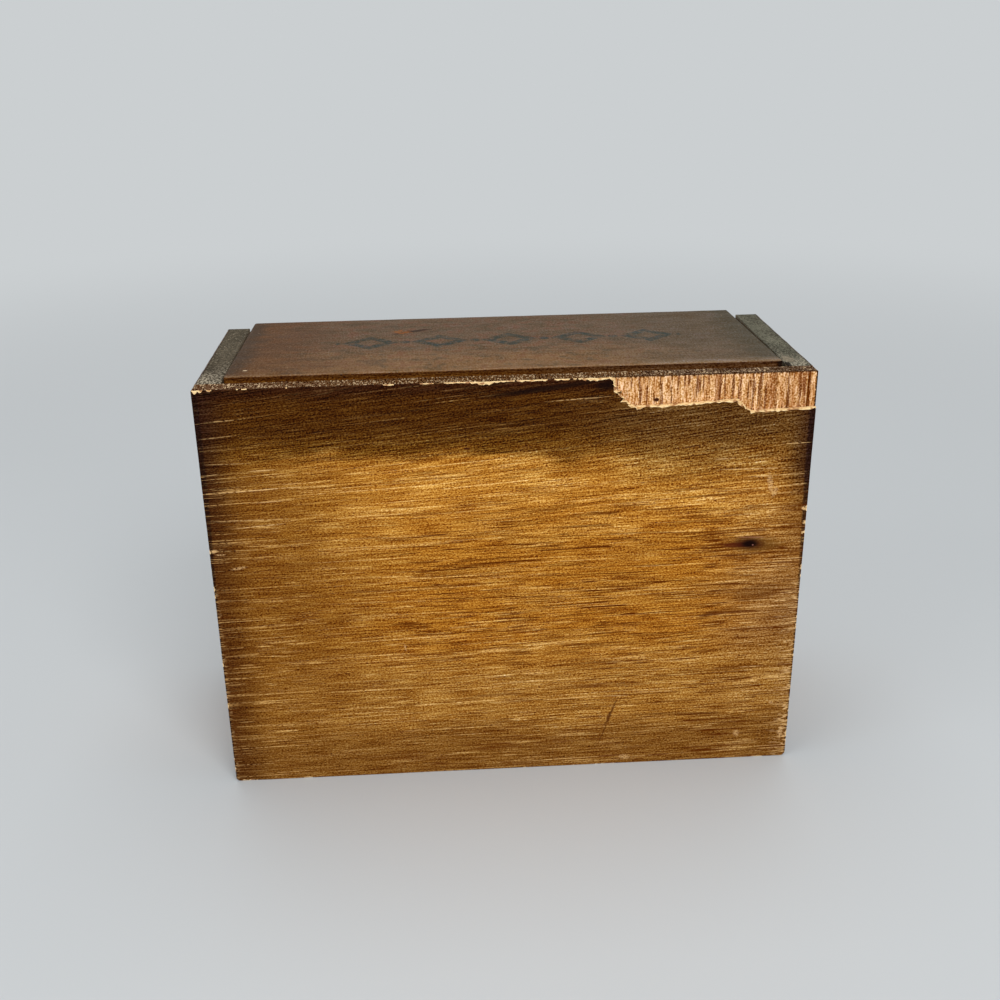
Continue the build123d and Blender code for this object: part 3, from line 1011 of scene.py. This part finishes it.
FRONT_TEARS = scattered(6, "left", 2.0, 98.0, 14, (0.8, 1.6), (0.12, 0.3))
FRONT_TEARS += scattered(7, "right", 2.0, 98.0, 14, (0.8, 1.6), (0.12, 0.3))
FRONT_TEARS += scattered(8, "bottom", -70.0, 65.0, 8, (2.0, 6.0), (0.1, 0.3))
FRONT_TEARS += scattered(9, "top", -70.0, 65.0, 8, (2.0, 8.0), (0.1, 0.3))


def broken_corners():
    """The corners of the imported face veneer's broken edge, as (h, z), from the panel's right
    edge to its top edge."""
    mesh = frame["nodes"]["back_face_veneer"].data
    corners = set()
    for vertex in mesh.vertices:
        h, z = -vertex.co.x / MM, vertex.co.z / MM
        if z > HEIGHT * 0.8 and h > 0:
            corners.add((round(h, 2), round(z, 2)))
    return [Vector(corner) for corner in sorted(corners, reverse=True)]


def broken_off(outline, tears):
    """The outline without the broken patch, how far each point is torn back, and the numbers
    of the points of the break. Across the grain it is splintered in steps, with a wide bevel."""
    corners = broken_corners()
    ragged = []
    torn_back = []
    for start, end in zip(corners, corners[1:]):
        run = end - start
        steep = min(1.0, 1.6 * abs(run.y) / run.length)
        count = max(2, round(run.length / 0.3))
        for k in range(count):
            point = start.lerp(end, k / count)
            point.x += 0.7 * steep * noise.cell(Vector((point.y / 0.4, 3.7, 0.5)))
            point.y += 0.10 * wobble(point, 1.6, 3) + 0.2 * wobble((point.x, 0), 6.0, 5)
            ragged.append(point)
            width = 0.27 + 0.32 * wobble(point, 0.9, 8) + 0.18 * wobble(point, 4.0, 9)
            torn_back.append(max(0.08, width * (1.0 + 0.9 * steep)))
    first, last = corners[0], corners[-1]
    start = max(i for i, p in enumerate(outline) if p.x > first.x - 1 and p.y < first.y - 0.3)
    end = min(i for i, p in enumerate(outline) if i > start and p.x < last.x - 0.3)
    ragged[0].x = outline[start].x
    kept = outline[:start + 1] + ragged + outline[end:]
    torn = tears[:start + 1] + torn_back + tears[end:]
    return kept, torn, range(start, start + len(ragged) + 2)


def bare_points():
    """Close points over the part of the core that the broken veneer leaves bare."""
    return [(22.0 + 0.3 * i, 96.0 + 0.9 * j) for i in range(170) for j in range(12)]


def furrows(u, v):
    """The upright furrows of the bare core."""
    if u < 20 or v < 94:
        return 0.0
    coarse = noise.noise(Vector((u / 0.8, v / 9.0, 2.0)))
    fine = noise.noise(Vector((u / 0.35, v / 5.0, 5.0)))
    return -0.12 - 0.10 * coarse - 0.04 * fine


def wall_panel(face_y, towards, height, tears, toast, seed, layers):
    """The three layers of an upright plywood panel, outermost first. towards is 1 for the
    back, which looks along +Y, and -1 for the front."""
    depth = 0.0
    for number, (node, slot) in enumerate(layers):
        outer, core = number == 0, number == 1
        thickness = CORE if core else VENEER
        place = placing((0, face_y - towards * depth, 0), (-towards, 0, 0), (0, 0, 1))
        depth += thickness
        outline = rectangle(WIDTH, height, PANEL_RADII, FINE_STEP)
        outline = worn(outline, WIDTH, height, (), 0.08, seed + number)
        torn, broken = None, ()
        if outer:
            torn = [loss_at(p, WIDTH, height, tears) for p in outline]
        if outer and towards > 0:
            outline, torn, broken = broken_off(outline, torn)
        bare = core and towards > 0
        face = toast if outer else CORE_WOOD if core else INNER_WOOD
        piece = board(
            f"{node}_sheet", place, outline, thickness,
            (face, PLY_EDGE, INNER_WOOD, TORN_WOOD),
            rim=0.14 if outer else 0.03, back_rim=0.12 if number == 2 else 0.03, torn=torn,
            broken=broken, relief=furrows if bare else None,
            extra=bare_points() if bare else (), rings=5 if core else 1,
            rim_bands=2 if outer else 0,
        )
        finished(piece, "box", slot, node)


wall_panel(BACK_HIGH.y, 1, HEIGHT, BACK_TEARS, BACK_TOAST, 1, (
    ("back_face_veneer", "toasted_veneer"),
    ("back_core_ply", "core_ply"),
    ("back_inner_veneer", "inner_veneer"),
))
wall_panel(FRONT_LOW.y, -1, FRONT_HEIGHT, FRONT_TEARS, FRONT_TOAST, 11, (
    ("front_face_veneer", "toasted_veneer"),
    ("front_core_ply", "core_ply"),
    ("front_inner_veneer", "inner_veneer"),
))


# ---------------------------------------------------------------- side boards
def side_board(node, outward):
    """One side board, with its nail's head let in flush."""
    place = placing((outward * WIDTH / 2, SIDE_MIDDLE, 0), (0, outward, 0), (0, 0, 1))
    outline = rectangle(SIDE_DEPTH, HEIGHT, (0.2,) * 4, FINE_STEP)
    outline = worn(outline, SIDE_DEPTH, HEIGHT, (), 0.08, 30 + outward)
    nail = Vector((outward * (PIN_Y - SIDE_MIDDLE), PIN_Z))

    def recess(u, v):
        away = (Vector((u, v)) - nail).length
        if away < PIN_HEAD_RADIUS + 0.03:
            return -PIN_HEAD_THICKNESS - 0.02
        return -0.12 * math.exp(-((away - PIN_HEAD_RADIUS) / 0.7) ** 2)

    around = [nail]
    for gap in (0.02, 0.05, 0.3, 0.7, 1.3):
        for k in range(28):
            angle = math.tau * k / 28
            reach = PIN_HEAD_RADIUS + gap
            around.append(nail + reach * Vector((math.cos(angle), math.sin(angle))))
    piece = board(
        f"{node}_board", place, outline, SIDE_THICKNESS,
        (SIDE_WOOD, END_GRAIN, INNER_UPRIGHT, TORN_WOOD),
        rim=[0.45 + 0.15 * wobble(p, 5.0, 31 + outward) for p in outline],
        back_rim=0.25, relief=recess, extra=around, rings=9,
    )
    finished(piece, "box", "side_board", node)


side_board("left_side", -1)
side_board("right_side", 1)


# ---------------------------------------------------------------- bottom
def bottom_sheets():
    width = FLOOR_HIGH.x - FLOOR_LOW.x
    depth = FLOOR_HIGH.y - FLOOR_LOW.y
    rise = 0.0
    for node, thickness, slot in (
        ("bottom_lower_veneer", VENEER, "inner_veneer"),
        ("bottom_core_ply", CORE, "core_ply"),
        ("bottom_upper_veneer", VENEER, "inner_veneer"),
    ):
        rise += thickness
        place = placing((0, FLOOR_LOW.y, rise), (1, 0, 0), (0, 1, 0))
        piece = board(
            f"{node}_sheet", place, rectangle(width, depth, (0.2,) * 4, 4.0), thickness,
            (INNER_FLOOR, PLY_EDGE, INNER_FLOOR, TORN_WOOD), rim=0.03, spacing=6.0,
        )
        finished(piece, "box", slot, node)


bottom_sheets()


# ---------------------------------------------------------------- lid
def lid_board():
    """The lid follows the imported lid's top face, which climbs a little to the back."""
    mesh = frame["nodes"]["lid"].data
    top = max((f for f in mesh.polygons if f.normal.z > 0.9), key=lambda f: f.area)
    normal = top.normal.copy()
    u = Vector((-1, 0, 0))
    v = normal.cross(u)
    corners = [vertex.co / MM for vertex in mesh.vertices]
    height = max(p.dot(normal) for p in corners)
    thickness = height - min(p.dot(normal) for p in corners)
    reach = [p.dot(v) for p in corners]
    depth = max(reach) - min(reach)
    width = LID_HIGH.x - LID_LOW.x
    rear = v * min(reach) + normal * height
    place = placing(((LID_LOW.x + LID_HIGH.x) / 2, rear.y, rear.z - 0.01), u, v)
    outline = rectangle(width, depth, (0.7, 0.5, 0.7, 0.8), FINE_STEP)
    chips = scattered(12, "bottom", -60.0, 55.0, 8, (1.5, 6.0), (0.1, 0.25))
    outline = worn(outline, width, depth, chips, 0.06, 71)
    piece = board(
        "lid_board", place, outline, thickness, (LID_TOP, LID_EDGE, INNER_FLOOR, TORN_WOOD),
        rim=[0.32 + 0.30 * min(1.0, p.y / 6.0) + 0.12 * wobble(p, 4.0, 72) for p in outline],
        back_rim=0.45,
        spacing=2.5, rings=7, rim_bands=1,
    )
    finished(piece, "lid", "lid_board", "lid")


lid_board()

for node in ("left_hinge_pin", "right_hinge_pin"):
    nail_mesh = frame["nodes"][node].data
    nail_mesh.materials.clear()
    nail_mesh.materials.append(NAIL_STEEL)


# ---------------------------------------------------------------- stage
BACKDROP = linear(203, 207, 209)
FLOOR_RADIUS = 3.0
WORLD_STRENGTH = 0.45
LAMPS = (
    ("key_lamp", (-0.25, 0.85, 0.80), 0.60, 6.6),
    ("fill_lamp", (0.80, 0.50, 0.50), 0.60, 1.8),
    ("top_lamp", (0.00, -0.20, 1.10), 0.80, 3.6),
)
CAMERA_PLACE = (16.75, 293.99, 185.74)
CAMERA_TURN = (67.561, 0.827, 176.558)  # degrees
CAMERA_LENS = 42.524


def seen(tree):
    """1 where the background is looked at, directly or in a reflection, and 0 where it only
    lights things."""
    path = tree.nodes.new("ShaderNodeLightPath")
    camera, glossy, through = (
        Field(tree, path.outputs[f"Is {kind} Ray"])
        for kind in ("Camera", "Glossy", "Transmission")
    )
    return camera.most(glossy).most(through)


def floor():
    """A pale floor that melts into the plain backdrop away from the box."""
    paint = Paint("pale_floor")
    cloud = paint.noise(paint.x / 300.0, paint.y / 300.0, 0.0, detail=3.0)
    shade = paint.mix(linear(200, 204, 206), linear(206, 210, 212), cloud)
    paint.finish(shade, 0.65, cloud, 0.0)
    away = (paint.x * paint.x + paint.y * paint.y) ** 0.5
    plain = paint.tree.nodes.new("ShaderNodeEmission")
    plain.inputs["Color"].default_value = BACKDROP
    blend = paint.tree.nodes.new("ShaderNodeMixShader")
    feed(paint.tree, away.rise(180.0, 800.0) * seen(paint.tree), blend.inputs[0])
    paint.tree.links.new(paint.shader.outputs[0], blend.inputs[1])
    paint.tree.links.new(plain.outputs[0], blend.inputs[2])
    output = paint.tree.nodes["Material Output"]
    paint.tree.links.new(blend.outputs[0], output.inputs["Surface"])
    mesh = bpy.data.meshes.new("floor")
    ring = []
    for k in range(96):
        angle = math.tau * k / 96
        ring.append((FLOOR_RADIUS * math.cos(angle), FLOOR_RADIUS * math.sin(angle), 0))
    mesh.from_pydata(ring, [], [tuple(range(96))])
    mesh.materials.append(paint.material)
    piece = bpy.data.objects.new("floor", mesh)
    bpy.context.scene.collection.objects.link(piece)


def world():
    """Even light from all around, seen as the plain backdrop."""
    studio = bpy.data.worlds.new("studio")
    bpy.context.scene.world = studio
    studio.use_nodes = True
    tree = studio.node_tree
    light = tree.nodes["Background"]
    light.inputs["Color"].default_value = linear(232, 234, 236)
    light.inputs["Strength"].default_value = WORLD_STRENGTH
    plain = tree.nodes.new("ShaderNodeBackground")
    plain.inputs["Color"].default_value = BACKDROP
    blend = tree.nodes.new("ShaderNodeMixShader")
    feed(tree, seen(tree), blend.inputs[0])
    tree.links.new(light.outputs[0], blend.inputs[1])
    tree.links.new(plain.outputs[0], blend.inputs[2])
    tree.links.new(blend.outputs[0], tree.nodes["World Output"].inputs["Surface"])


def lamps():
    for name, place, size, power in LAMPS:
        lamp = bpy.data.lights.new(name, "AREA")
        lamp.size = size
        lamp.energy = power
        holder = bpy.data.objects.new(name, lamp)
        holder.location = place
        aim = Vector((0, 0, 0.05)) - Vector(place)
        holder.rotation_euler = aim.to_track_quat("-Z", "Y").to_euler()
        bpy.context.scene.collection.objects.link(holder)


def camera():
    """The camera stands where the photograph's stood."""
    lens = bpy.data.cameras.new("camera")
    lens.sensor_width = 36.0
    lens.lens = CAMERA_LENS
    lens.clip_start = 0.01
    holder = bpy.data.objects.new("camera", lens)
    holder.location = Vector(CAMERA_PLACE) * MM
    holder.rotation_euler = [math.radians(angle) for angle in CAMERA_TURN]
    bpy.context.scene.collection.objects.link(holder)
    bpy.context.scene.camera = holder


floor()
world()
lamps()
camera()
bpy.context.scene.view_settings.view_transform = "Standard"
